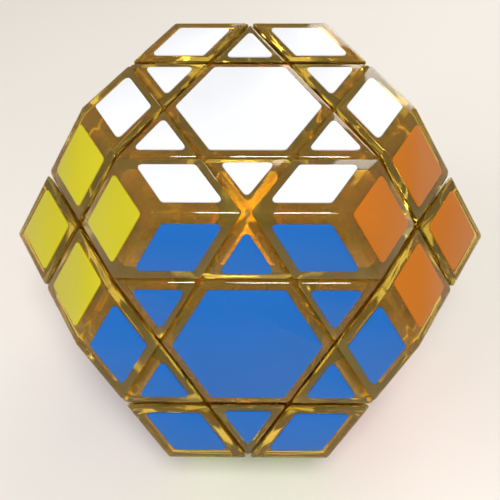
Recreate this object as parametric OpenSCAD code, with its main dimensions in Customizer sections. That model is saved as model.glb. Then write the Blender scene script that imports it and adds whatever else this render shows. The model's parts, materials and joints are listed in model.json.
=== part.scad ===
// Truncated-octahedron twisty puzzle: eight hexagonal and six square faces, each the top of a layer that turns.
// Sizes are in millimetres. The puzzle stands on one hexagonal face, with the origin under its middle and +Z up.
// Inside, pieces are described along the directions of the faces, from the middle of the puzzle.

/* [Size] */
// Distance between two opposite square faces, without stickers
across_squares = 68; // [56:1:90]

/* [Fits] */
// Gap between neighbouring pieces
gap = 0.3; // [0.2:0.05:0.5]
// Radial clearance of a screw in a piece that turns on it
screw_clearance = 0.08; // [0.05:0.01:0.1]
// Clearance at each end of a spring
spring_clearance = 0.05; // [0.02:0.01:0.1]

/* [Pieces] */
// Plastic left between a neck and the middle of a hexagonal face
face_skin = 0.5; // [0.3:0.1:1.5]
// Length of the necks that join the outer plates to the feet
neck_length = 9; // [8:0.5:10]
// Height of the feet that hold the pieces in
foot_height = 6.7; // [5:0.1:7]
// How far a neck is drawn in from the edge of its plate, in degrees
neck_setback = 1; // [0.6:0.1:2]
// How far a foot reaches past its neck under a hexagonal face, in degrees
hexagon_overhang = 3.5; // [2:0.5:4]
// How far a foot reaches past its neck under a square face, in degrees
square_overhang = 7; // [4:0.5:9]
// Thickness of the caps on the hexagon centres
cap_thickness = 2; // [1.6:0.1:3]
// Length of the round plug under a cap
plug_length = 1.2; // [0.6:0.1:1.5]

/* [Screws and springs] */
// Diameter of the hexagon screws
hexagon_screw_d = 3; // [2.5:0.1:3.5]
// Head diameter of the hexagon screws
hexagon_head_d = 5.6; // [5:0.1:6]
// Head height of the hexagon screws
hexagon_head_height = 2; // [1.5:0.1:2.4]
// Diameter of the square screws
square_screw_d = 1.6; // [1.2:0.1:1.6]
// Head diameter of the square screws
square_head_d = 3.2; // [2.6:0.1:3.4]
// Head height of the square screws
square_head_height = 1.2; // [0.8:0.1:1.5]
// Depth of the counterbore over a square screw's seat
square_counterbore = 2.5; // [2:0.1:3]
// Wire diameter of the springs
spring_wire = 0.9; // [0.7:0.1:1]
// Length of a spring as fitted
spring_length = 5; // [4:0.1:5.5]
// Plastic under a spring, above the height where the feet end
seat_drop = 2.5; // [2:0.1:3]
// Room round a spring in its pocket
pocket_room = 0.4; // [0.3:0.1:0.6]
// Plastic left between two screw holes in the core
core_web = 0.8; // [0.6:0.1:1.2]

/* [Stickers] */
// Thickness of a sticker
sticker_thickness = 0.2; // [0.1:0.05:0.3]
// Distance from a sticker's edge to the cut beside it
sticker_margin = 1.3; // [1:0.1:2]
// Bare border round the stickers of a corner piece
corner_sticker_margin = 1.7; // [1:0.1:2]
// Corner radius of a sticker
sticker_radius = 0.6; // [0.3:0.1:1.2]

/* [Hidden] */
$fn = 64;
amber = [0.62, 0.44, 0.12];
steel = [0.72, 0.73, 0.75];
core_grey = [0.25, 0.25, 0.27];
sticker_white = [0.93, 0.94, 0.96];

// The corners of the puzzle are all the ways to order 0, one unit and two units along three square axes.
unit_length = across_squares / 4;
hexagon_face = sqrt(3) * unit_length;
square_face = 2 * unit_length;
// A layer's cut passes through the middles of the face edges around it.
hexagon_cut = 2 / sqrt(3) * unit_length;
square_cut = 1.5 * unit_length;
small_edge = unit_length / sqrt(2);

// Plates lie outside plate_r, necks between foot_r and plate_r, feet between inner_r and foot_r.
plate_r = hexagon_face - face_skin;
foot_r = plate_r - neck_length;
inner_r = foot_r - foot_height;
core_r = inner_r - gap;
hexagon_neck = acos(hexagon_cut / plate_r) - neck_setback;
square_neck = acos(square_cut / plate_r) - neck_setback;
hexagon_foot = hexagon_neck + hexagon_overhang;
square_foot = square_neck + square_overhang;

// Angles between the axes of two hexagonal faces that meet, and of a hexagonal and a square face that meet
hexagon_angle = acos(1 / 3);
face_angle = acos(1 / sqrt(3));
// How far parts that are joined run into each other, and how far a cutter runs past what it cuts
lap = 1;
// The stems on the axes are round, so they keep clear of the nearest layer on every side, up to
// where they have run into their plates.
stem_neck = hexagon_angle - acos(hexagon_cut / (plate_r + lap));
stem_foot = min(hexagon_angle - hexagon_foot, face_angle - square_foot);
collar_neck = face_angle - hexagon_neck;

// Wider than any layer, and further than any piece reaches
layer_r = 2 * unit_length;
reach = 3 * unit_length;

// A spring stands on its seat, and the screw's head stands on the spring.
seat_h = foot_r - seat_drop;
spring_d = hexagon_head_d + 0.5;
pocket_r = spring_d / 2 + pocket_room;
head_h = seat_h + spring_length + 2 * spring_clearance;
cap_h = hexagon_face - cap_thickness;
square_seat_h = plate_r - square_counterbore;
// Screws stop where their holes would come closer than core_web.
screw_tip_h = (hexagon_screw_d / 2 + square_screw_d / 2 + core_web) / (2 * sin(face_angle / 2));
slot_width = 0.2;
slot_depth = 0.5;

HEXAGONS = [
    ["top", [1, 1, 1]], ["front", [1, 1, -1]], ["back_left", [1, -1, 1]], ["back_right", [-1, 1, 1]],
    ["front_left", [1, -1, -1]], ["front_right", [-1, 1, -1]], ["back", [-1, -1, 1]], ["bottom", [-1, -1, -1]]
];
SQUARES = [
    ["upper_left", [1, 0, 0]], ["upper_right", [0, 1, 0]], ["upper_back", [0, 0, 1]],
    ["lower_right", [-1, 0, 0]], ["lower_left", [0, -1, 0]], ["lower_front", [0, 0, -1]]
];
LAYERS = ["top_layer", "lower_right_layer", "lower_left_layer", "lower_front_layer", "frame"];

hexes = [for (f = HEXAGONS) f[1]];
squares = [for (f = SQUARES) f[1]];
corners = [for (s = squares) for (t = squares) if (s * t == 0) 2 * s + t];
edges = [for (i = [0 : 5]) for (j = [i : 5]) if (squares[i] * squares[j] == 0) 1.5 * (squares[i] + squares[j])];
wedges = [for (s = squares) for (h = hexes) if (s * h == 1) 1.5 * s + 0.5 * h];
square_centres = [for (s = squares) 2 * s];

// The faces whose layers a piece at p belongs to, and the layers beside it that it has to clear
function is_hexagon(n) = norm(n) > 1.1;
function in_hexagon(p, n) = p * n > 2.5;
function in_square(p, n) = p * n > 1.75;
function own_hexes(p) = [for (n = hexes) if (in_hexagon(p, n)) n];
function own_squares(p) = [for (n = squares) if (in_square(p, n)) n];
function angle_between(a, b) = acos(a * b / (norm(a) * norm(b)));
function near_hexes(p) = [for (n = hexes) if (!in_hexagon(p, n) && angle_between(p, n) < 72) n];
function near_squares(p) = [for (n = squares) if (!in_square(p, n) && angle_between(p, n) < 60) n];

// Which of the layers that turn holds the piece at p
function layer_of(p) =
    in_hexagon(p, hexes[0]) ? LAYERS[0] :
    in_square(p, squares[3]) ? LAYERS[1] :
    in_square(p, squares[4]) ? LAYERS[2] :
    in_square(p, squares[5]) ? LAYERS[3] : LAYERS[4];
function of_layer(pieces, layer) = [for (p = pieces) if (layer_of(p) == layer) p];

function face_height(n) = is_hexagon(n) ? hexagon_face : square_face;
function cut_height(n) = is_hexagon(n) ? hexagon_cut : square_cut;
function neck_angle(n) = is_hexagon(n) ? hexagon_neck : square_neck;
function foot_angle(n) = is_hexagon(n) ? hexagon_foot : square_foot;

function hex_words(p) = [for (f = HEXAGONS) if (in_hexagon(p, f[1])) f[0]];
function square_words(p) = [for (f = SQUARES) if (in_square(p, f[1])) f[0]];
function corner_name(p) = str("corner_", square_words(p)[0], "_", hex_words(p)[0], "_", hex_words(p)[1]);
function edge_name(p) = str("edge_", hex_words(p)[0], "_", hex_words(p)[1]);
function square_centres_name(layer) = str("square_centre_", layer);

// Stands the puzzle on its bottom hexagon, with the front hexagon towards -Y
module stand() {
    translate([0, 0, hexagon_face + sticker_thickness])
    rotate([-face_angle, 0, 0])
    rotate([0, 0, -135])
    children();
}

// Turns +Z to point along n
module along(n) {
    rotate([0, acos(n.z / norm(n)), atan2(n.y, n.x)])
    children();
}

// Turns +Z to point along n and +X as near as it goes to the direction of toward
module on_face(n, toward) {
    z = n / norm(n);
    flat = toward - z * (toward * z);
    x = flat / norm(flat);
    y = cross(z, x);
    multmatrix([[x.x, y.x, z.x, 0], [x.y, y.y, z.y, 0], [x.z, y.z, z.z, 0], [0, 0, 0, 1]])
    children();
}

module shell(inner, outer) {
    difference() {
        sphere(outer);
        sphere(inner);
    }
}

// The disc under a face, between two heights, wider than any layer
module slab(n, low, high) {
    along(n)
    translate([0, 0, low])
    cylinder(h = high - low, r = layer_r);
}

// A cone about a face's axis, moved in by inset all round
module cone(n, angle, inset) {
    tip = inset / sin(angle);
    height = plate_r + 3 * lap - tip;
    along(n)
    translate([0, 0, tip])
    cylinder(h = height, r1 = 0, r2 = height * tan(angle));
}

// The right half of a cone's outline, moved in by inset all round
module cone_outline(angle, inset) {
    tip = inset / sin(angle);
    polygon([[0, tip], [reach * sin(angle), tip + reach * cos(angle)], [0, tip + reach]]);
}

module ring(inner, outer) {
    difference() {
        circle(outer);
        circle(inner);
    }
}

// All the space that the layer under face n sweeps as it turns, grown by half a gap
module swept_layer(n) {
    along(n)
    rotate_extrude()
    union() {
        difference() {
            translate([0, cut_height(n) - gap / 2])
            square([reach, reach]);
            circle(plate_r - gap / 2);
        }
        intersection() {
            ring(foot_r - lap, plate_r + lap);
            cone_outline(neck_angle(n), -gap / 2);
        }
        intersection() {
            ring(inner_r - lap, foot_r + gap / 2);
            cone_outline(foot_angle(n), -gap / 2);
        }
    }
}

// The piece that belongs to every layer in faces: an outer plate, a neck and a foot
module block(faces) {
    difference() {
        intersection_for (n = faces) slab(n, cut_height(n) + gap / 2, face_height(n));
        sphere(plate_r + gap / 2);
    }
    intersection() {
        intersection_for (n = faces) cone(n, neck_angle(n), gap / 2);
        shell(foot_r - lap, plate_r + lap);
    }
    intersection() {
        intersection_for (n = faces) cone(n, foot_angle(n), gap / 2);
        shell(inner_r, foot_r - gap / 2);
    }
}

module piece(p) {
    difference() {
        union() {
            block(concat(own_hexes(p), own_squares(p)));
        }
        for (n = concat(near_hexes(p), near_squares(p))) {
            swept_layer(n);
        }
    }
}

// Two rhombi and a square, where two hexagonal faces meet a square one
module corner(p) {
    color(amber)
    stand()
    piece(p);
}

// Two triangles, where two hexagonal faces meet
module edge(p) {
    color(amber)
    stand()
    piece(p);
}

// One triangle each, where a hexagonal face meets a square one
module wedges_of(layer) {
    color(amber)
    stand()
    for (p = of_layer(wedges, layer)) {
        piece(p);
    }
}

// The six-sided plate in the middle of a hexagonal face, between two heights
module hexagon_plate(n, low, high) {
    difference() {
        on_face(n, [n.x, 0, 0])
        translate([0, 0, low])
        rotate([0, 0, 30])
        cylinder(h = high - low, r = 2 * small_edge, $fn = 6);
        for (m = near_hexes(n)) slab(m, hexagon_cut - gap / 2, reach);
        for (m = near_squares(n)) slab(m, square_cut - gap / 2, reach);
    }
}

// The middle of a hexagonal layer: a plate on a round stem, with a pocket for the spring and the screw's head
module hexagon_centres_of(layer) {
    color(amber)
    stand()
    for (n = of_layer(hexes, layer)) {
        difference() {
            union() {
                difference() {
                    hexagon_plate(n, hexagon_cut, cap_h);
                    sphere(plate_r + gap / 2);
                }
                intersection() {
                    cone(n, stem_neck, gap);
                    shell(foot_r + gap / 2, plate_r + lap);
                }
                intersection() {
                    cone(n, stem_foot, gap);
                    shell(inner_r, foot_r + lap);
                }
            }
            slab(n, cap_h, hexagon_face + 2 * lap);
            along(n) {
                cylinder(h = cap_h + lap, d = hexagon_screw_d + 2 * screw_clearance);
                translate([0, 0, seat_h])
                cylinder(h = cap_h + lap - seat_h, r = pocket_r);
            }
        }
    }
}

module caps_of(layer) {
    color(amber)
    stand()
    for (n = of_layer(hexes, layer)) {
        hexagon_plate(n, cap_h, hexagon_face);
        along(n)
        translate([0, 0, cap_h - plug_length])
        cylinder(h = plug_length + cap_thickness / 2, r = pocket_r);
    }
}

// A hidden collar on each square axis, round its screw, with a counterbore for the head
module square_centres_of(layer) {
    color(amber)
    stand()
    for (p = of_layer(square_centres, layer)) {
        along(p)
        rotate_extrude()
        difference() {
            intersection() {
                ring(foot_r + gap / 2, plate_r - gap / 2);
                cone_outline(collar_neck, gap);
            }
            square([square_screw_d / 2 + screw_clearance, square_face]);
            translate([0, square_seat_h])
            square([square_head_d / 2 + gap, square_face]);
        }
    }
}

// A ball with a screw hole under every face
module core() {
    color(core_grey)
    stand()
    difference() {
        sphere(core_r);
        for (n = hexes) {
            along(n)
            translate([0, 0, screw_tip_h])
            cylinder(h = core_r, d = hexagon_screw_d);
        }
        for (n = squares) {
            along(n)
            translate([0, 0, screw_tip_h])
            cylinder(h = core_r, d = square_screw_d);
        }
    }
}

// A round-headed screw from the core out to head_low, with a cross slot
module screw(d, head_d, head_low, head_height) {
    difference() {
        union() {
            translate([0, 0, screw_tip_h])
            cylinder(h = head_low + head_height / 2 - screw_tip_h, d = d);
            translate([0, 0, head_low])
            cylinder(h = head_height, d = head_d);
        }
        for (turn = [0, 90]) {
            rotate([0, 0, turn])
            translate([-head_d * slot_width * 1.5, -head_d * slot_width / 2, head_low + head_height * slot_depth])
            cube([head_d * slot_width * 3, head_d * slot_width, head_height]);
        }
    }
}

module hexagon_screws() {
    color(steel)
    stand()
    for (n = hexes) {
        along(n)
        screw(hexagon_screw_d, hexagon_head_d, head_h, hexagon_head_height);
    }
}

module square_screws() {
    color(steel)
    stand()
    for (n = squares) {
        along(n)
        screw(square_screw_d, square_head_d, square_seat_h + spring_clearance, square_head_height);
    }
}

// Springs pressed until their turns touch, each one ribbed sleeve
module springs() {
    turns = floor(spring_length / (spring_wire * 0.9));
    pitch = (spring_length - spring_wire) / (turns - 1);
    color(steel)
    stand()
    for (n = hexes) {
        along(n)
        translate([0, 0, seat_h + spring_clearance])
        rotate_extrude()
        union() {
            for (i = [0 : turns - 1]) {
                translate([(spring_d - spring_wire) / 2, spring_wire / 2 + i * pitch])
                circle(d = spring_wire, $fn = 32);
            }
        }
    }
}

// The outline of the tile at p on face n, with +X towards the piece, before its margin is taken off
function tile(p, n) =
    let (far = sqrt(3) * small_edge, side = small_edge)
    !is_hexagon(n) ? [[sqrt(2) * side, 0], [side / sqrt(2), side / sqrt(2)], [0, 0], [side / sqrt(2), -side / sqrt(2)]] :
    p == n ? [for (a = [30 : 60 : 330]) side * [cos(a), sin(a)]] :
    is_corner(p)
        ? [[2 * side, 0], far * [cos(30), sin(30)], [side, 0], far * [cos(30), -sin(30)]]
        : [[far, 0], side * [cos(30), sin(30)], side * [cos(30), -sin(30)]];

function is_corner(p) = len(own_hexes(p)) + len(own_squares(p)) == 3;

// The sticker of the piece at p on its face n
module sticker(p, n) {
    margin = is_corner(p) ? corner_sticker_margin : sticker_margin;
    on_face(n, p == n ? [n.x, 0, 0] : p)
    translate([0, 0, face_height(n)])
    linear_extrude(sticker_thickness)
    offset(r = sticker_radius, $fn = 24)
    offset(delta = -sticker_radius - margin)
    polygon(tile(p, n));
}

module stickers_of(layer) {
    color(sticker_white)
    stand() {
        for (p = of_layer(concat(corners, edges, wedges, hexes), layer)) {
            for (n = own_hexes(p)) sticker(p, n);
        }
        for (p = of_layer(corners, layer)) {
            for (n = own_squares(p)) sticker(p, n);
        }
    }
}

for (p = corners) corner(p);
for (p = edges) edge(p);
for (layer = LAYERS) wedges_of(layer);
hexagon_centres_of("top_layer");  // hexagon_centre_top_layer
hexagon_centres_of("frame");  // hexagon_centres_frame
caps_of("top_layer");  // cap_top_layer
caps_of("frame");  // caps_frame
for (layer = LAYERS) square_centres_of(layer);
core();
hexagon_screws();
square_screws();
springs();
for (layer = LAYERS) stickers_of(layer);
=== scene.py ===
"""Looks of the truncated-octahedron twisty puzzle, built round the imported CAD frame. Sizes are in metres."""

import json
import logging
import math
from collections.abc import Callable, Iterable
from dataclasses import dataclass, field
from enum import Enum
from itertools import permutations, product

import bpy
from mathutils import Matrix, Vector

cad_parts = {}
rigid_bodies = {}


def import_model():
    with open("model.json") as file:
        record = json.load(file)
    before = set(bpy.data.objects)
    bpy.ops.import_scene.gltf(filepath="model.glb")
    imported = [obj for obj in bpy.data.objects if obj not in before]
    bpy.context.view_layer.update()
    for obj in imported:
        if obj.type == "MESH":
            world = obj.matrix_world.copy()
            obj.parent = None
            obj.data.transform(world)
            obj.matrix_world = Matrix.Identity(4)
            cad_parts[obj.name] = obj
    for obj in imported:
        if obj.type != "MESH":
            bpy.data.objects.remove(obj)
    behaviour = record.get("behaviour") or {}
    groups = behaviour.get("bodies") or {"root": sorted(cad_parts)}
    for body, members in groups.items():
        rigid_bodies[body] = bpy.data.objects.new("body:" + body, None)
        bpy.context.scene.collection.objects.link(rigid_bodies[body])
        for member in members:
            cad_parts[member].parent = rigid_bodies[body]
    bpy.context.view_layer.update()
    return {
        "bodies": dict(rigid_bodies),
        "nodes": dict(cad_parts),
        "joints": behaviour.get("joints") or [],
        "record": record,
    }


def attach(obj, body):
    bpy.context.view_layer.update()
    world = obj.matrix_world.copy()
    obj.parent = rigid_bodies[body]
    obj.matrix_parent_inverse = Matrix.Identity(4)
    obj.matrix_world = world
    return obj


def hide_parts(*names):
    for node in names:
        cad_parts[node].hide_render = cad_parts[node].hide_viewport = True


LOG = logging.getLogger("puzzle")
MM = 0.001
UNIT = 17 * MM
TILE = UNIT / math.sqrt(2)
HEXAGON_FACE = math.sqrt(3) * UNIT
SQUARE_FACE = 2 * UNIT
HEXAGON_CUT = HEXAGON_FACE * 2 / 3
SQUARE_CUT = SQUARE_FACE * 3 / 4
GAP = 0.3 * MM
STICKER = 0.2 * MM
# Height of the inner side of the outer plates above the puzzle's centre
PLATE_UNDER = 29.12 * MM
# Points closer than this count as level, and points closer than the weld are merged
TOUCH = 0.1 * MM
WELD = 0.01 * MM
# How far two directions may differ and still match, and the dot product of a side that faces along
SAME_WAY = 0.1
FACING = 0.9
# Dot products, in units, above which a piece belongs to the top layer or to a square layer
TOP_LEVEL = 2.5
SQUARE_LEVEL = 1.75
CENTRE = Vector((0, 0, HEXAGON_FACE + STICKER))
TO_ROW = Matrix(
    (
        (-1 / math.sqrt(2), 1 / math.sqrt(2), 0),
        (-1 / math.sqrt(6), -1 / math.sqrt(6), 2 / math.sqrt(6)),
        (1 / math.sqrt(3), 1 / math.sqrt(3), 1 / math.sqrt(3)),
    )
)

HEXAGONS = {
    "top": (1, 1, 1),
    "front": (1, 1, -1),
    "back_left": (1, -1, 1),
    "back_right": (-1, 1, 1),
    "front_left": (1, -1, -1),
    "front_right": (-1, 1, -1),
    "back": (-1, -1, 1),
    "bottom": (-1, -1, -1),
}
SQUARES = {
    "upper_left": (1, 0, 0),
    "upper_right": (0, 1, 0),
    "upper_back": (0, 0, 1),
    "lower_right": (-1, 0, 0),
    "lower_left": (0, -1, 0),
    "lower_front": (0, 0, -1),
}


class Tile(Enum):
    """The four outlines that a sticker can have."""

    HEXAGON = "hexagon"
    TRIANGLE = "triangle"
    RHOMBUS = "rhombus"
    SQUARE = "square"


class Hue(Enum):
    """Sticker colours, one for each face, as scene-linear red, green and blue."""

    WHITE = (0.72, 0.73, 0.76)
    BLUE = (0.002, 0.11, 0.42)
    YELLOW = (0.52, 0.455, 0.003)
    ORANGE = (0.50, 0.14, 0.0)
    RED = (0.55, 0.012, 0.014)
    GREEN = (0.01, 0.30, 0.05)
    PURPLE = (0.16, 0.03, 0.36)
    PINK = (0.82, 0.24, 0.36)
    GREY = (0.22, 0.23, 0.24)
    BLACK = (0.012, 0.012, 0.014)
    SKY = (0.20, 0.55, 0.80)
    BROWN = (0.14, 0.055, 0.02)
    MAGENTA = (0.58, 0.02, 0.30)
    LIME = (0.32, 0.62, 0.03)


FACE_HUES = {
    "top": Hue.WHITE,
    "front": Hue.BLUE,
    "upper_left": Hue.YELLOW,
    "upper_right": Hue.ORANGE,
    "back_left": Hue.RED,
    "back_right": Hue.GREEN,
    "front_left": Hue.PURPLE,
    "front_right": Hue.PINK,
    "back": Hue.GREY,
    "bottom": Hue.BLACK,
    "upper_back": Hue.SKY,
    "lower_right": Hue.BROWN,
    "lower_left": Hue.MAGENTA,
    "lower_front": Hue.LIME,
}


# ---------------------------------------------------------------- places


def row_point(point: Vector) -> Vector:
    """Moves a point from the puzzle's own axes to the row frame."""
    return TO_ROW @ point + CENTRE


def unit_of(way: tuple[int, int, int]) -> Vector:
    """Unit vector of a face's direction on the puzzle's own axes."""
    return Vector(way).normalized()


def layer_of(place: Vector) -> str:
    """Finds the body that a piece belongs to.

    Args:
        place: The piece's place on the puzzle's own axes, in units.

    Returns:
        The name of the CAD body.
    """
    if place.dot(Vector((1, 1, 1))) > TOP_LEVEL:
        return "top_layer"
    for name in ("lower_right", "lower_left", "lower_front"):
        if place.dot(Vector(SQUARES[name])) > SQUARE_LEVEL:
            return f"{name}_layer"
    return "frame"


def turns() -> list[Matrix]:
    """The 24 turns that bring the puzzle's axes back onto themselves."""
    found = []
    for order in permutations(range(3)):
        for signs in product((1, -1), repeat=3):
            turn = Matrix([[signs[r] if order[r] == c else 0 for c in range(3)] for r in range(3)])
            if turn.determinant() > 0:
                found.append(turn)
    return found


def turn_in_row(turn: Matrix) -> Matrix:
    """A turn of the puzzle about its own centre, as a matrix of the row frame."""
    whole = (TO_ROW @ turn @ TO_ROW.transposed()).to_4x4()
    return Matrix.Translation(CENTRE) @ whole @ Matrix.Translation(-CENTRE)


# ---------------------------------------------------------------- shader nodes


@dataclass(frozen=True)
class Wire:
    """An output socket that takes part in Python arithmetic."""

    tree: bpy.types.NodeTree
    socket: bpy.types.NodeSocket

    def _math(self, operation: str, first: "Wire | float", second: "Wire | float") -> "Wire":
        """Adds a Math node.

        Args:
            operation: The node's operation.
            first: First value or link.
            second: Second value or link.

        Returns:
            The node's result.
        """
        node = self.tree.nodes.new("ShaderNodeMath")
        node.operation = operation
        for index, value in enumerate((first, second)):
            if isinstance(value, Wire):
                self.tree.links.new(value.socket, node.inputs[index])
            else:
                node.inputs[index].default_value = value
        return Wire(self.tree, node.outputs[0])

    def __add__(self, other: "Wire | float") -> "Wire":
        """Sum of two values."""
        return self._math("ADD", self, other)

    def __radd__(self, other: float) -> "Wire":
        """Sum with a number in front."""
        return self._math("ADD", other, self)

    def __mul__(self, other: "Wire | float") -> "Wire":
        """Product of two values."""
        return self._math("MULTIPLY", self, other)

    def __rmul__(self, other: float) -> "Wire":
        """Product with a number in front."""
        return self._math("MULTIPLY", other, self)

    def __pow__(self, other: "Wire | float") -> "Wire":
        """A value to a power."""
        return self._math("POWER", self, other)


class Recipe:
    """A material's node tree, built node by node."""

    def __init__(self, name: str) -> None:
        """Starts a material with its principled shader.

        Args:
            name: The material's name.
        """
        self.material = bpy.data.materials.new(name)
        self.material.use_nodes = True
        self.tree = self.material.node_tree
        self.shader = self.tree.nodes["Principled BSDF"]
        coordinates = self.tree.nodes.new("ShaderNodeTexCoord")
        self.place = Wire(self.tree, coordinates.outputs["Object"])

    def node(self, kind: str, out: str | int = 0, settings: dict | None = None, **inputs: object) -> Wire:
        """Adds one node.

        Args:
            kind: The node's type, without its ShaderNode prefix.
            out: The output that is wanted.
            settings: Properties that are set before the sockets.
            **inputs: Values or links of the sockets, by name with _ for a space, or i0, i1 for a place.

        Returns:
            The output socket.
        """
        node = self.tree.nodes.new(f"ShaderNode{kind}")
        for key, value in (settings or {}).items():
            if key == "stops":
                self._stops(node, value)
            else:
                setattr(node, key, value)
        for key, value in inputs.items():
            by_place = key[0] == "i" and key[1:].isdigit()
            socket = node.inputs[int(key[1:])] if by_place else node.inputs[key.replace("_", " ")]
            if isinstance(value, Wire):
                self.tree.links.new(value.socket, socket)
            else:
                socket.default_value = value
        return Wire(self.tree, node.outputs[out])

    @staticmethod
    def _stops(node: bpy.types.ShaderNode, stops: list[tuple[float, tuple]]) -> None:
        """Sets a colour ramp's stops."""
        ramp = node.color_ramp
        ramp.elements[0].position, ramp.elements[1].position = stops[0][0], stops[-1][0]
        ramp.elements[0].color, ramp.elements[1].color = (*stops[0][1], 1), (*stops[-1][1], 1)
        for position, colour in stops[1:-1]:
            ramp.elements.new(position).color = (*colour, 1)

    def noise(self, size: float, detail: float = 2.0, squash: Vector | None = None) -> Wire:
        """Cloudy noise between 0 and 1.

        Args:
            size: Width of its patches.
            detail: Number of finer octaves.
            squash: Stretch of the pattern along each axis, if any.

        Returns:
            The noise's value.
        """
        place = self.place
        if squash is not None:
            place = self.node("Mapping", 0, None, Vector=self.place, Scale=squash)
        return self.node("TexNoise", "Fac", None, Vector=place, Scale=1 / size, Detail=detail)

    def blend(self, mask: Wire, low: tuple, high: tuple) -> Wire:
        """Colour between two others.

        Args:
            mask: 0 gives the first colour and 1 the second.
            low: First colour.
            high: Second colour.

        Returns:
            The mixed colour.
        """
        return self.node("ValToRGB", 0, {"stops": [(0.0, low), (1.0, high)]}, Fac=mask)

    def bump(self, height: Wire, depth: float, strength: float = 1.0) -> Wire:
        """A relief.

        Args:
            height: Height between 0 and 1.
            depth: Real depth of the relief.
            strength: Share of it that shows.

        Returns:
            The bent normal.
        """
        return self.node("Bump", 0, None, Height=height, Distance=depth, Strength=strength)

    def finish(self, constants: dict[str, object], **varying: Wire) -> bpy.types.Material:
        """Sets and links the shader's sockets.

        Args:
            constants: Values that are the same all over.
            **varying: Links, by socket name with _ for a space.

        Returns:
            The finished material.
        """
        for key, value in constants.items():
            self.shader.inputs[key].default_value = value
        for key, wire in varying.items():
            self.tree.links.new(wire.socket, self.shader.inputs[key.replace("_", " ")])
        return self.material


@dataclass(frozen=True)
class ClearPlastic:
    """Clear amber moulded plastic with faint flow lines, dust and handling marks."""

    name: str = "clear_plastic"
    pale: tuple = (1.0, 0.84, 0.12)
    deep: tuple = (0.97, 0.50, 0.02)
    gloss: float = 0.035

    def material(self) -> bpy.types.Material:
        """Builds the material."""
        recipe = Recipe(self.name)
        cloud = recipe.noise(9 * MM, 3)
        flow = recipe.noise(2.2 * MM, 2, Vector((1, 0.25, 1)))
        dust = recipe.noise(0.25 * MM, 3)
        colour = recipe.blend(cloud * 0.7 + flow * 0.3, self.pale, self.deep)
        rough = self.gloss + 0.05 * (dust ** 3.0) + 0.02 * flow
        relief = recipe.bump(flow * 0.7 + dust * 0.3, 0.03 * MM, 0.35)
        constants = {"Transmission Weight": 0.92, "IOR": 1.46}
        return recipe.finish(constants, Base_Color=colour, Roughness=rough, Normal=relief)


@dataclass(frozen=True)
class CorePlastic:
    """Milky amber plastic of the core, with mould texture and grease."""

    name: str = "core_plastic"
    pale: tuple = (0.86, 0.60, 0.16)
    deep: tuple = (0.62, 0.34, 0.05)

    def material(self) -> bpy.types.Material:
        """Builds the material."""
        recipe = Recipe(self.name)
        cloud = recipe.noise(4 * MM, 3)
        grain = recipe.noise(0.3 * MM, 2)
        colour = recipe.blend(cloud, self.pale, self.deep)
        rough = 0.22 + 0.2 * cloud * grain
        relief = recipe.bump(grain, 0.03 * MM, 0.5)
        return recipe.finish({"Specular IOR Level": 0.5}, Base_Color=colour, Roughness=rough, Normal=relief)


@dataclass(frozen=True)
class BrightSteel:
    """Plated steel of screws and springs, with drawing marks."""

    name: str
    shade: float = 0.62

    def material(self) -> bpy.types.Material:
        """Builds the material."""
        recipe = Recipe(self.name)
        streak = recipe.noise(0.4 * MM, 2, Vector((1, 1, 0.15)))
        stain = recipe.noise(2 * MM, 3)
        low = (self.shade * 0.72, self.shade * 0.70, self.shade * 0.66)
        high = (self.shade, self.shade, self.shade * 1.02)
        colour = recipe.blend(stain, high, low)
        rough = 0.18 + 0.18 * streak
        relief = recipe.bump(streak, 0.01 * MM, 0.4)
        return recipe.finish({"Metallic": 1.0}, Base_Color=colour, Roughness=rough, Normal=relief)


@dataclass(frozen=True)
class StickerFilm:
    """Printed vinyl film: even colour, satin gloss, fine pebble and a few scuffs."""

    hue: Hue

    @property
    def slot(self) -> str:
        """The record's slot for this colour."""
        return f"sticker_{self.hue.name.lower()}"

    def material(self) -> bpy.types.Material:
        """Builds the material."""
        recipe = Recipe(self.slot)
        base = self.hue.value
        tint = recipe.noise(14 * MM, 2)
        pebble = recipe.noise(0.35 * MM, 2)
        wave = recipe.noise(5 * MM, 1)
        scuff = recipe.node(
            "ValToRGB", 0, {"stops": [(0.66, (0, 0, 0)), (0.8, (1, 1, 1))]}, Fac=recipe.noise(1.1 * MM, 4)
        )
        darker = tuple(0.90 * value for value in base)
        lighter = tuple(min(1.0, value * 1.04 + 0.004) for value in base)
        worn = tuple(min(1.0, value * 0.92 + 0.05) for value in base)
        even = recipe.blend(tint, darker, lighter)
        colour = recipe.node(
            "Mix",
            2,
            {"data_type": "RGBA"},
            i0=scuff * 0.25,
            i6=even,
            i7=(*worn, 1),
        )
        rough = 0.30 + 0.10 * pebble + 0.12 * scuff
        relief = recipe.bump(pebble * 0.35 + wave * 0.65, 0.04 * MM, 0.35)
        constants = {"Coat Weight": 0.1, "Coat Roughness": 0.15, "Specular IOR Level": 0.35}
        return recipe.finish(constants, Base_Color=colour, Roughness=rough, Normal=relief)


@dataclass(frozen=True)
class PaleFloor:
    """Matt pale board under the puzzle."""

    name: str = "pale_floor"

    def material(self) -> bpy.types.Material:
        """Builds the material."""
        recipe = Recipe(self.name)
        cloud = recipe.noise(0.08, 3)
        grain = recipe.noise(1.5 * MM, 2)
        colour = recipe.blend(cloud, (0.70, 0.66, 0.60), (0.76, 0.72, 0.66))
        return recipe.finish({}, Base_Color=colour, Roughness=0.55 + 0.1 * grain)


# ---------------------------------------------------------------- modelling by hand


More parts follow.
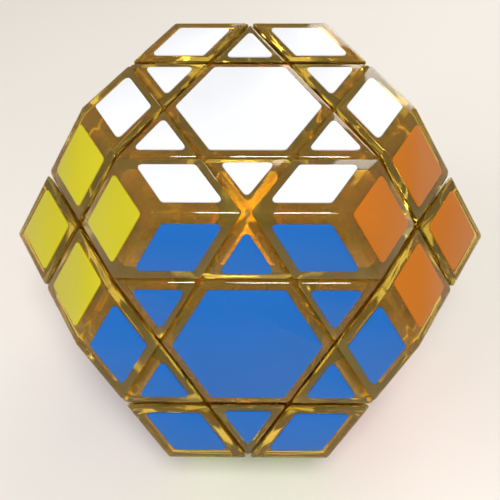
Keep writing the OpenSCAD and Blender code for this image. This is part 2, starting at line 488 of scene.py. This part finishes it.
class Bench:
    """The modelling operators that the pieces are made with."""

    @staticmethod
    def clear() -> None:
        """Deselects every object."""
        if bpy.context.object is not None and bpy.context.object.mode != "OBJECT":
            bpy.ops.object.mode_set(mode="OBJECT")
        bpy.ops.object.select_all(action="DESELECT")

    @staticmethod
    def edit(piece: bpy.types.Object, kind: str = "FACE") -> None:
        """Opens a piece in edit mode with nothing selected.

        Args:
            piece: The piece.
            kind: VERT, EDGE or FACE.
        """
        Bench.clear()
        piece.select_set(True)
        bpy.context.view_layer.objects.active = piece
        bpy.ops.object.mode_set(mode="EDIT")
        bpy.ops.mesh.select_mode(type=kind)
        bpy.ops.mesh.select_all(action="DESELECT")

    @staticmethod
    def close() -> None:
        """Goes back to object mode."""
        bpy.ops.object.mode_set(mode="OBJECT")

    @staticmethod
    def pick_faces(piece: bpy.types.Object, test: Callable[[Vector, Vector], bool]) -> None:
        """Selects faces of the piece that is being edited.

        Args:
            piece: The piece.
            test: Takes a face's centre and normal and says whether it is selected.
        """
        bpy.ops.mesh.select_all(action="DESELECT")
        Bench.close()
        for polygon in piece.data.polygons:
            polygon.select = test(polygon.center, polygon.normal)
        bpy.ops.object.mode_set(mode="EDIT")

    @staticmethod
    def pick_edges(piece: bpy.types.Object, test: Callable[[Vector, Vector], bool]) -> None:
        """Selects edges of the piece that is being edited.

        Args:
            piece: The piece.
            test: Takes an edge's two ends and says whether it is selected.
        """
        bpy.ops.mesh.select_all(action="DESELECT")
        Bench.close()
        points = piece.data.vertices
        for edge in piece.data.edges:
            edge.select = test(points[edge.vertices[0]].co, points[edge.vertices[1]].co)
        bpy.ops.object.mode_set(mode="EDIT")

    @staticmethod
    def settle(piece: bpy.types.Object) -> None:
        """Puts the piece's place into its mesh."""
        Bench.clear()
        piece.select_set(True)
        bpy.context.view_layer.objects.active = piece
        bpy.ops.object.transform_apply(location=True, rotation=True, scale=True)

    @staticmethod
    def join(pieces: list[bpy.types.Object], name: str) -> bpy.types.Object:
        """Joins pieces into the first one.

        Args:
            pieces: The pieces, in the row frame.
            name: The joined piece's name.

        Returns:
            The joined piece.
        """
        Bench.clear()
        for piece in pieces:
            piece.select_set(True)
        bpy.context.view_layer.objects.active = pieces[0]
        if len(pieces) > 1:
            bpy.ops.object.join()
        pieces[0].name = pieces[0].data.name = name
        return pieces[0]

    @staticmethod
    def copy(piece: bpy.types.Object, name: str, move: Matrix) -> bpy.types.Object:
        """Copies a piece with a mesh of its own.

        Args:
            piece: The piece to copy.
            name: The copy's name.
            move: Where the copy goes.

        Returns:
            The copy.
        """
        twin = bpy.data.objects.new(name, piece.data.copy())
        twin.data.name = name
        twin.data.transform(move)
        bpy.context.scene.collection.objects.link(twin)
        return twin

    @staticmethod
    def smooth(piece: bpy.types.Object, degrees: float = 32) -> None:
        """Shades the piece smooth up to an angle."""
        Bench.clear()
        piece.select_set(True)
        bpy.context.view_layer.objects.active = piece
        bpy.ops.object.shade_smooth_by_angle(angle=math.radians(degrees))

    @staticmethod
    def discard(piece: bpy.types.Object) -> None:
        """Removes a pattern piece once its copies are made."""
        bpy.data.objects.remove(piece)


@dataclass(frozen=True)
class Side:
    """One flat side of a block: the block is where way . x <= reach."""

    way: Vector
    reach: float


@dataclass
class Block:
    """A block of plastic bounded by face planes, cut planes and one inner plane."""

    place: Vector
    inner: float = PLATE_UNDER
    wall: float = 1.15 * MM
    edge: float = 0.5 * MM
    hollow_edge: float = 0.3 * MM
    blank: float = 5 * UNIT
    sides: list[Side] = field(init=False)

    def __post_init__(self) -> None:
        """Lists the block's sides from its place."""
        self.sides = []
        ways = [(way, HEXAGON_CUT, HEXAGON_FACE) for way in HEXAGONS.values()]
        ways += [(way, SQUARE_CUT, SQUARE_FACE) for way in SQUARES.values()]
        for way, cut, face in ways:
            along = unit_of(way)
            if (self.place * UNIT).dot(along) > cut + TOUCH:
                self.sides.append(Side(along, face))
                self.sides.append(Side(-along, -cut - GAP / 2))
            else:
                self.sides.append(Side(along, cut - GAP / 2))
        along = self.place.normalized()
        self.sides.append(Side(-along, -self.inner))

    def carve(self, name: str, shrink: float, edge: float, segments: int) -> bpy.types.Object:
        """Cuts the block out of a cube by one bisection for each side.

        Args:
            name: The piece's name.
            shrink: How far every side is moved in.
            edge: Width of the rounding.
            segments: Steps of the rounding.

        Returns:
            The carved piece, in the row frame.
        """
        Bench.clear()
        bpy.ops.mesh.primitive_cube_add(size=self.blank, location=CENTRE)
        piece = bpy.context.object
        piece.name = name
        Bench.settle(piece)
        Bench.edit(piece)
        for side in self.sides:
            bpy.ops.mesh.select_all(action="SELECT")
            bpy.ops.mesh.bisect(
                plane_co=row_point(side.way * (side.reach - shrink)),
                plane_no=TO_ROW @ side.way,
                use_fill=True,
                clear_outer=True,
            )
        bpy.ops.mesh.select_all(action="SELECT")
        bpy.ops.mesh.remove_doubles(threshold=WELD)
        bpy.ops.mesh.normals_make_consistent(inside=False)
        bpy.ops.mesh.bevel(offset=edge, segments=segments, affect="EDGES", clamp_overlap=True)
        Bench.close()
        return piece

    def shell(self, name: str) -> bpy.types.Object:
        """Makes the block hollow.

        Args:
            name: The piece's name.

        Returns:
            The hollow block.
        """
        skin = self.carve(name, 0.0, self.edge, 3)
        hollow = self.carve(f"{name}_hollow", self.wall, self.hollow_edge, 2)
        Bench.edit(hollow)
        bpy.ops.mesh.select_all(action="SELECT")
        bpy.ops.mesh.flip_normals()
        Bench.close()
        return Bench.join([skin, hollow], name)


@dataclass
class Stalk:
    """The neck and foot that hold a piece under its neighbours."""

    way: Vector
    under: Vector
    neck_radius: float
    foot_radius: float
    foot_low: float = 13.7 * MM
    foot_high: float = 19.3 * MM
    inner: float = PLATE_UNDER
    overrun: float = 1.12
    sunk: float = 0.03 * MM
    rim: float = 0.5 * MM

    def build(self, name: str) -> bpy.types.Object:
        """Turns the foot, draws the neck out of it and cuts the neck flush under the block.

        Args:
            name: The piece's name.

        Returns:
            The stalk, in the row frame.
        """
        along = TO_ROW @ self.way.normalized()
        middle = (self.foot_low + self.foot_high) / 2
        Bench.clear()
        bpy.ops.mesh.primitive_cylinder_add(
            vertices=28,
            radius=self.foot_radius,
            depth=self.foot_high - self.foot_low,
            location=CENTRE + along * middle,
            rotation=along.to_track_quat("Z", "Y").to_euler(),
        )
        piece = bpy.context.object
        piece.name = name
        Bench.settle(piece)
        Bench.edit(piece)
        Bench.pick_faces(piece, lambda centre, normal: normal.dot(along) > FACING)
        bpy.ops.mesh.inset(thickness=self.foot_radius - self.neck_radius)
        bpy.ops.mesh.extrude_region_move(
            TRANSFORM_OT_translate={"value": along * (self.inner * self.overrun - self.foot_high)}
        )
        Bench.pick_edges(piece, lambda a, b: self._rim(a, b, along))
        bpy.ops.mesh.bevel(offset=self.rim, segments=3, affect="EDGES", clamp_overlap=True)
        bpy.ops.mesh.select_all(action="SELECT")
        bpy.ops.mesh.bisect(
            plane_co=row_point(self.under.normalized() * (self.inner - self.sunk)),
            plane_no=TO_ROW @ self.under.normalized(),
            use_fill=True,
            clear_outer=True,
        )
        bpy.ops.mesh.select_all(action="SELECT")
        bpy.ops.mesh.normals_make_consistent(inside=False)
        Bench.close()
        return piece

    def _rim(self, first: Vector, second: Vector, along: Vector) -> bool:
        """Says whether an edge lies round the foot's lower or upper rim."""
        heights = [(point - CENTRE).dot(along) for point in (first, second)]
        radii = [((point - CENTRE) - along * h).length for point, h in zip((first, second), heights)]
        level = abs(heights[0] - heights[1]) < TOUCH and heights[0] < self.foot_high + TOUCH
        return level and min(radii) > self.foot_radius - 2 * TOUCH


# ---------------------------------------------------------------- sub-assemblies


@dataclass
class Corners:
    """Twenty-four corner pieces, each with two rhombi and a square."""

    square: Vector = field(default_factory=lambda: Vector((1, 0, 0)))
    side: Vector = field(default_factory=lambda: Vector((0, 0, 1)))
    lean: float = 22.0

    def node_name(self, turn: Matrix, nodes: Iterable[str]) -> str:
        """Names the CAD node of the corner that a turn leads to.

        Args:
            turn: The turn from the first corner.
            nodes: The CAD nodes' names.

        Returns:
            The node's name.
        """
        square = self._square_name(turn @ self.square)
        ways = [tuple(round(v) for v in turn @ Vector((1, y, 1))) for y in (1, -1)]
        names = [next(name for name, way in HEXAGONS.items() if way == found) for found in ways]
        options = (f"corner_{square}_{names[0]}_{names[1]}", f"corner_{square}_{names[1]}_{names[0]}")
        return next(option for option in options if option in nodes)

    @staticmethod
    def _square_name(way: Vector) -> str:
        """Name of the square face in a direction."""
        return next(name for name, found in SQUARES.items() if (Vector(found) - way).length < SAME_WAY)

    def build(self, nodes: dict[str, bpy.types.Object], plastic: bpy.types.Material) -> int:
        """Makes the first corner and turns copies of it into place.

        Args:
            nodes: The CAD nodes.
            plastic: The pieces' material.

        Returns:
            How many pieces there are.
        """
        place = self.square * 2 + self.side
        angle = math.radians(self.lean)
        way = self.square * math.cos(angle) + self.side * math.sin(angle)
        body = Block(place).shell("corner")
        stalk = Stalk(way, place, neck_radius=1.7 * MM, foot_radius=2.0 * MM)
        master = Bench.join([body, stalk.build("corner_stalk")], "corner")
        Bench.smooth(master)
        master.data.materials.append(plastic)
        for turn in turns():
            node = self.node_name(turn, nodes)
            piece = Bench.copy(master, f"shell_{node}", turn_in_row(turn))
            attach(piece, layer_of(turn @ place))
            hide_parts(node)
        Bench.discard(master)
        return len(turns())


@dataclass
class Edges:
    """Twelve edge pieces, each with two triangles."""

    place: Vector = field(default_factory=lambda: Vector((1.5, 1.5, 0)))

    def build(self, nodes: dict[str, bpy.types.Object], plastic: bpy.types.Material) -> int:
        """Makes the first edge and turns copies of it into place.

        Args:
            nodes: The CAD nodes.
            plastic: The pieces' material.

        Returns:
            How many pieces there are.
        """
        body = Block(self.place).shell("edge")
        stalk = Stalk(self.place, self.place, neck_radius=2.2 * MM, foot_radius=2.5 * MM)
        master = Bench.join([body, stalk.build("edge_stalk")], "edge")
        Bench.smooth(master)
        master.data.materials.append(plastic)
        made: set[str] = set()
        for turn in turns():
            ways = [tuple(round(v) for v in turn @ Vector((1, 1, z))) for z in (1, -1)]
            names = [next(name for name, way in HEXAGONS.items() if way == found) for found in ways]
            options = (f"edge_{names[0]}_{names[1]}", f"edge_{names[1]}_{names[0]}")
            node = next(option for option in options if option in nodes)
            if node in made:
                continue
            made.add(node)
            piece = Bench.copy(master, f"shell_{node}", turn_in_row(turn))
            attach(piece, layer_of(turn @ self.place))
            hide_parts(node)
        Bench.discard(master)
        return len(made)


@dataclass
class Wedges:
    """Twenty-four wedge pieces, each with one triangle, one mesh for each body."""

    place: Vector = field(default_factory=lambda: Vector((2.0, 0.5, 0.5)))

    def build(self, plastic: bpy.types.Material) -> int:
        """Makes the first wedge and turns copies of it into place.

        Args:
            plastic: The pieces' material.

        Returns:
            How many pieces there are.
        """
        body = Block(self.place).shell("wedge")
        stalk = Stalk(self.place, self.place, neck_radius=1.6 * MM, foot_radius=1.75 * MM)
        master = Bench.join([body, stalk.build("wedge_stalk")], "wedge")
        Bench.smooth(master)
        master.data.materials.append(plastic)
        groups: dict[str, list[bpy.types.Object]] = {}
        for turn in turns():
            layer = layer_of(turn @ self.place)
            groups.setdefault(layer, []).append(Bench.copy(master, "wedge_copy", turn_in_row(turn)))
        for layer, pieces in groups.items():
            piece = Bench.join(pieces, f"shells_wedges_{layer}")
            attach(piece, layer)
            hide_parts(f"wedges_{layer}")
        Bench.discard(master)
        return len(turns())


@dataclass
class Caps:
    """Eight hexagonal caps, each with a round plug under it."""

    place: Vector = field(default_factory=lambda: Vector((1, 1, 1)))
    thickness: float = 2 * MM
    plug_length: float = 1.2 * MM
    plug_radius: float = 3.35 * MM
    plug_wall: float = 0.9 * MM
    plug_edge: float = 0.12 * MM
    dish: float = 0.7
    plate_edge: float = 0.45 * MM
    clearance: float = 0.02 * MM

    def _plug(self) -> bpy.types.Object:
        """Turns the plug that locates the cap in its pocket."""
        along = TO_ROW @ self.place.normalized()
        top = HEXAGON_FACE - self.thickness - self.clearance
        Bench.clear()
        bpy.ops.mesh.primitive_cylinder_add(
            vertices=40,
            radius=self.plug_radius,
            depth=self.plug_length,
            location=CENTRE + along * (top - self.plug_length / 2),
            rotation=along.to_track_quat("Z", "Y").to_euler(),
        )
        plug = bpy.context.object
        Bench.settle(plug)
        Bench.edit(plug)
        Bench.pick_faces(plug, lambda centre, normal: normal.dot(along) < -FACING)
        bpy.ops.mesh.inset(thickness=self.plug_wall)
        bpy.ops.mesh.extrude_region_move(
            TRANSFORM_OT_translate={"value": along * self.plug_length * self.dish}
        )
        bpy.ops.mesh.select_all(action="SELECT")
        bpy.ops.mesh.bevel(offset=self.plug_edge, segments=2, affect="EDGES", clamp_overlap=True)
        Bench.close()
        return plug

    def build(self, plastic: bpy.types.Material) -> int:
        """Makes the first cap and turns copies of it into place.

        Args:
            plastic: The pieces' material.

        Returns:
            How many caps there are.
        """
        block = Block(self.place, inner=HEXAGON_FACE - self.thickness)
        plate = block.carve("cap", 0.0, self.plate_edge, 3)
        master = Bench.join([plate, self._plug()], "cap")
        Bench.smooth(master)
        master.data.materials.append(plastic)
        groups: dict[str, list[bpy.types.Object]] = {}
        for way in HEXAGONS.values():
            turn = next(t for t in turns() if (t @ self.place - Vector(way)).length < SAME_WAY)
            layer = layer_of(Vector(way))
            groups.setdefault(layer, []).append(Bench.copy(master, "cap_copy", turn_in_row(turn)))
        for layer, pieces in groups.items():
            node = "cap_top_layer" if layer == "top_layer" else "caps_frame"
            piece = Bench.join(pieces, f"shell_{node}")
            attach(piece, layer)
            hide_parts(node)
        Bench.discard(master)
        return len(HEXAGONS)


@dataclass
class Springs:
    """Eight coil springs under the heads of the hexagon screws."""

    wire: float = 0.86 * MM
    outer: float = 6.0 * MM
    seat: float = 17.5 * MM
    length: float = 4.9 * MM
    turns: int = 5
    wire_points: int = 10
    steps: int = 28

    def build(self, steel: bpy.types.Material) -> int:
        """Coils one spring and turns copies of it onto every hexagon axis.

        Args:
            steel: The spring's material.

        Returns:
            How many springs there are.
        """
        pitch = (self.length - self.wire) / self.turns
        Bench.clear()
        bpy.ops.mesh.primitive_circle_add(
            vertices=self.wire_points,
            radius=self.wire / 2,
            location=((self.outer - self.wire) / 2, 0, self.seat + self.wire / 2),
            rotation=(math.pi / 2, 0, 0),
        )
        coil = bpy.context.object
        Bench.settle(coil)
        winding = coil.modifiers.new("winding", "SCREW")
        winding.axis = "Z"
        winding.screw_offset = pitch
        winding.iterations = self.turns
        winding.steps = winding.render_steps = self.steps
        winding.use_merge_vertices = False
        bpy.ops.object.modifier_apply(modifier="winding")
        Bench.edit(coil, "EDGE")
        bpy.ops.mesh.select_non_manifold()
        bpy.ops.mesh.edge_face_add()
        bpy.ops.mesh.select_all(action="SELECT")
        bpy.ops.mesh.normals_make_consistent(inside=False)
        Bench.close()
        Bench.smooth(coil, 50)
        coil.data.materials.append(steel)
        coils = []
        for way in HEXAGONS.values():
            along = TO_ROW @ unit_of(way)
            move = Matrix.Translation(CENTRE) @ along.to_track_quat("Z", "Y").to_matrix().to_4x4()
            coils.append(Bench.copy(coil, "coil_copy", move))
        piece = Bench.join(coils, "coil_springs")
        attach(piece, "frame")
        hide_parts("springs")
        Bench.discard(coil)
        return len(HEXAGONS)


@dataclass
class Stickers:
    """One hundred and twenty-eight stickers of coloured film, one mesh for each colour and body."""

    margin: float = 1.3 * MM
    corner_margin: float = 1.7 * MM
    corner: float = 0.6 * MM
    rim: float = 0.06 * MM
    off_axis: float = 2 * MM
    made: dict[tuple[str, str], list[bpy.types.Object]] = field(default_factory=dict)

    def _pattern(self, tile: Tile) -> bpy.types.Object:
        """Cuts one sticker about the origin, with its outline's first point along X.

        Args:
            tile: The outline.

        Returns:
            The pattern piece.
        """
        count, radius = {
            Tile.HEXAGON: (6, TILE - self.margin / math.cos(math.pi / 6)),
            Tile.TRIANGLE: (3, TILE / math.sqrt(3) - 2 * self.margin),
            Tile.RHOMBUS: (4, TILE / 2 - self.corner_margin / math.cos(math.pi / 6)),
            Tile.SQUARE: (4, TILE / math.sqrt(2) - self.corner_margin * math.sqrt(2)),
        }[tile]
        Bench.clear()
        bpy.ops.mesh.primitive_cylinder_add(vertices=count, radius=radius, depth=STICKER)
        piece = bpy.context.object
        piece.rotation_euler = (0, 0, self._first_turn(piece))
        Bench.settle(piece)
        if tile is Tile.RHOMBUS:
            piece.scale = (1.0, math.sqrt(3), 1.0)
            Bench.settle(piece)
        Bench.edit(piece, "EDGE")
        sharp = math.radians({Tile.HEXAGON: 120, Tile.TRIANGLE: 60, Tile.RHOMBUS: 60, Tile.SQUARE: 90}[tile])
        if tile is Tile.RHOMBUS:
            blunt, near, far = math.radians(120), self.off_axis, 0.9 * radius * math.sqrt(3)
            self._round(piece, lambda a, b: self._upright(a, b) and abs(a.x) > near, blunt)
            self._round(piece, lambda a, b: self._upright(a, b) and abs(a.y) > far, sharp)
        else:
            self._round(piece, self._upright, sharp)
        Bench.pick_edges(piece, lambda a, b: a.z > 0 and b.z > 0)
        bpy.ops.mesh.bevel(offset=self.rim, segments=2, affect="EDGES", clamp_overlap=True)
        Bench.close()
        piece.name = f"pattern_{tile.value}"
        return piece

    @staticmethod
    def _upright(first: Vector, second: Vector) -> bool:
        """Says whether an edge stands across the film's thickness."""
        return abs(first.z - second.z) > TOUCH

    @staticmethod
    def _first_turn(piece: bpy.types.Object) -> float:
        """Angle that brings the outline's first point onto X."""
        first = piece.data.vertices[0].co
        return -math.atan2(first.y, first.x)

    def _round(self, piece: bpy.types.Object, test: Callable[[Vector, Vector], bool], angle: float) -> None:
        """Rounds the chosen upright edges to the corner radius.

        Args:
            piece: The pattern piece.
            test: Says which edges are rounded.
            angle: The outline's angle there.
        """
        Bench.pick_edges(piece, test)
        bpy.ops.mesh.bevel(offset=self.corner / math.tan(angle / 2), segments=5, affect="EDGES")

    def _lay(self, pattern: bpy.types.Object, face: str, middle: Vector, first: Vector, layer: str) -> None:
        """Lays one sticker on a face.

        Args:
            pattern: The pattern piece.
            face: The face's name.
            middle: Middle of the tile on the puzzle's own axes.
            first: Direction of the outline's first point.
            layer: The body it rides on.
        """
        normal = TO_ROW @ unit_of(HEXAGONS.get(face) or SQUARES[face])
        ahead = (TO_ROW @ first).normalized()
        across = normal.cross(ahead).normalized()
        frame = Matrix((ahead, across, normal)).transposed().to_4x4()
        move = Matrix.Translation(row_point(middle) + normal * STICKER / 2) @ frame
        key = (layer, FACE_HUES[face].name)
        self.made.setdefault(key, []).append(Bench.copy(pattern, "sticker_copy", move))

    def _hexagon_face(self, face: str, patterns: dict[Tile, bpy.types.Object]) -> None:
        """Lays the thirteen stickers of a hexagonal face.

        Args:
            face: The face's name.
            patterns: The pattern pieces.
        """
        h = Vector(HEXAGONS[face])
        corners = []
        for far, near in permutations(range(3), 2):
            point = Vector((0, 0, 0))
            point[far], point[near] = 2 * h[far], h[near]
            corners.append(point)
        toward = (corners[0] - h).normalized()
        self._lay(patterns[Tile.HEXAGON], face, h * UNIT, toward, layer_of(h))
        for corner in corners:
            toward = (corner - h).normalized()
            self._lay(patterns[Tile.RHOMBUS], face, h * UNIT + toward * 1.5 * TILE, toward, layer_of(corner))
            partners = [c for c in corners if abs((c - h).normalized().dot(toward) - 0.5) < SAME_WAY]
            for partner in partners:
                if corners.index(partner) < corners.index(corner):
                    continue
                side = (toward + (partner - h).normalized()).normalized()
                tip = h * UNIT + side * math.sqrt(3) * TILE
                middle = h * UNIT + side * TILE * 2 / math.sqrt(3)
                self._lay(patterns[Tile.TRIANGLE], face, middle, side, layer_of(tip / UNIT))

    def _square_face(self, face: str, pattern: bpy.types.Object) -> None:
        """Lays the four stickers of a square face.

        Args:
            face: The face's name.
            pattern: The square pattern.
        """
        s = Vector(SQUARES[face])
        for way in SQUARES.values():
            side = Vector(way)
            if abs(side.dot(s)) < SAME_WAY:
                self._lay(pattern, face, (2 * s + side / 2) * UNIT, side, layer_of(2 * s + side))

    def build(self, films: dict[Hue, bpy.types.Material]) -> int:
        """Cuts the four patterns, lays every sticker and joins them by colour and body.

        Args:
            films: The material of each colour.

        Returns:
            How many stickers there are.
        """
        patterns = {tile: self._pattern(tile) for tile in Tile}
        for face in HEXAGONS:
            self._hexagon_face(face, patterns)
        for face in SQUARES:
            self._square_face(face, patterns[Tile.SQUARE])
        total = 0
        for (layer, hue), pieces in self.made.items():
            total += len(pieces)
            piece = Bench.join(pieces, f"film_{hue.lower()}_{layer}")
            Bench.smooth(piece)
            piece.data.materials.clear()
            piece.data.materials.append(films[Hue[hue]])
            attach(piece, layer)
            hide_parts(f"stickers_{layer}")
        for pattern in patterns.values():
            Bench.discard(pattern)
        return total


# ---------------------------------------------------------------- room


@dataclass
class Studio:
    """The floor, the lights and the camera."""

    lens: float = 63.1
    eye: Vector = field(default_factory=lambda: Vector((0.0022, -0.0981, 0.1404)))
    look: Vector = field(default_factory=lambda: Vector((-0.0153, 0.6571, -0.7536)))
    across: Vector = field(default_factory=lambda: Vector((0.9999, 0.0131, -0.0089)))
    glow: float = 0.42
    exposure: float = -0.18
    bounces: int = 32

    def camera(self) -> None:
        """Stands the camera at the viewing angle."""
        back = -self.look.normalized()
        up = back.cross(self.across).normalized()
        right = up.cross(back).normalized()
        data = bpy.data.cameras.new("camera")
        data.lens = self.lens
        data.sensor_width = 36
        data.clip_start = 5 * MM
        camera = bpy.data.objects.new("camera", data)
        camera.matrix_world = Matrix.Translation(self.eye) @ Matrix((right, up, back)).transposed().to_4x4()
        bpy.context.scene.collection.objects.link(camera)
        bpy.context.scene.camera = camera

    @staticmethod
    def _softbox(name: str, place: Vector, size: float, watts: float, tint: tuple) -> None:
        """Hangs one square light that faces the puzzle.

        Args:
            name: The light's name.
            place: Where it hangs.
            size: Its width.
            watts: Its power.
            tint: Its colour.
        """
        data = bpy.data.lights.new(name, "AREA")
        data.energy, data.size, data.color = watts, size, tint
        light = bpy.data.objects.new(name, data)
        light.location = place
        light.rotation_euler = (CENTRE - place).to_track_quat("-Z", "Y").to_euler()
        bpy.context.scene.collection.objects.link(light)

    def lights(self) -> None:
        """Hangs the key beside the camera, a wide fill and a low rim."""
        self._softbox("key", Vector((0.02, -0.20, 0.36)), 0.10, 1.45, (1.0, 0.98, 0.95))
        self._softbox("fill", Vector((-0.45, -0.25, 0.45)), 0.45, 1.3, (0.95, 0.97, 1.0))
        self._softbox("rim", Vector((0.26, 0.58, 0.25)), 0.40, 2.8, (1.0, 0.97, 0.93))
        world = bpy.data.worlds.new("room")
        bpy.context.scene.world = world
        world.use_nodes = True
        world.node_tree.nodes["Background"].inputs[0].default_value = (0.95, 0.97, 1.0, 1)
        world.node_tree.nodes["Background"].inputs[1].default_value = self.glow

    @staticmethod
    def floor() -> None:
        """Lays a flat board under the puzzle, with its top at height zero."""
        Bench.clear()
        bpy.ops.mesh.primitive_cube_add(size=1, location=(0, 0, -0.01))
        board = bpy.context.object
        board.name = "floor"
        board.scale = (6, 6, 0.02)
        Bench.settle(board)
        board.data.materials.append(PaleFloor().material())

    def build(self) -> None:
        """Sets up the room and how light is traced through clear plastic."""
        self.camera()
        self.lights()
        self.floor()
        scene = bpy.context.scene
        scene.view_settings.view_transform = "Standard"
        scene.view_settings.exposure = self.exposure
        scene.cycles.max_bounces = self.bounces
        scene.cycles.transmission_bounces = self.bounces
        scene.cycles.transparent_max_bounces = 16


@dataclass
class Carried:
    """CAD nodes that keep their own shape and get a finish."""

    finishes: dict[str, bpy.types.Material]

    def dress(self, nodes: dict[str, bpy.types.Object]) -> int:
        """Assigns the finishes.

        Args:
            nodes: The CAD nodes.

        Returns:
            How many nodes were dressed.
        """
        count = 0
        for name, node in nodes.items():
            finish = next((m for start, m in self.finishes.items() if name.startswith(start)), None)
            if finish is not None:
                node.data.materials.clear()
                node.data.materials.append(finish)
                count += 1
        return count


def main() -> None:
    """Builds the sub-assemblies in order and reports each."""
    logging.basicConfig(level=logging.INFO, format="%(name)s: %(message)s")
    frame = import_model()
    nodes = frame["nodes"]
    plastic = ClearPlastic().material()
    screw_steel = BrightSteel("screw_steel").material()
    films = {hue: StickerFilm(hue).material() for hue in Hue}
    Studio().build()
    LOG.info("corners: %d", Corners().build(nodes, plastic))
    LOG.info("edges: %d", Edges().build(nodes, plastic))
    LOG.info("wedges: %d", Wedges().build(plastic))
    LOG.info("caps: %d", Caps().build(plastic))
    LOG.info("springs: %d", Springs().build(BrightSteel("spring_steel", 0.55).material()))
    LOG.info("stickers: %d", Stickers().build(films))
    finishes = {
        "hexagon_centre": plastic,
        "square_centre": plastic,
        "core": CorePlastic().material(),
        "hexagon_screws": screw_steel,
        "square_screws": screw_steel,
    }
    LOG.info("carried nodes: %d", Carried(finishes).dress(nodes))


if __name__ == "__main__":
    main()
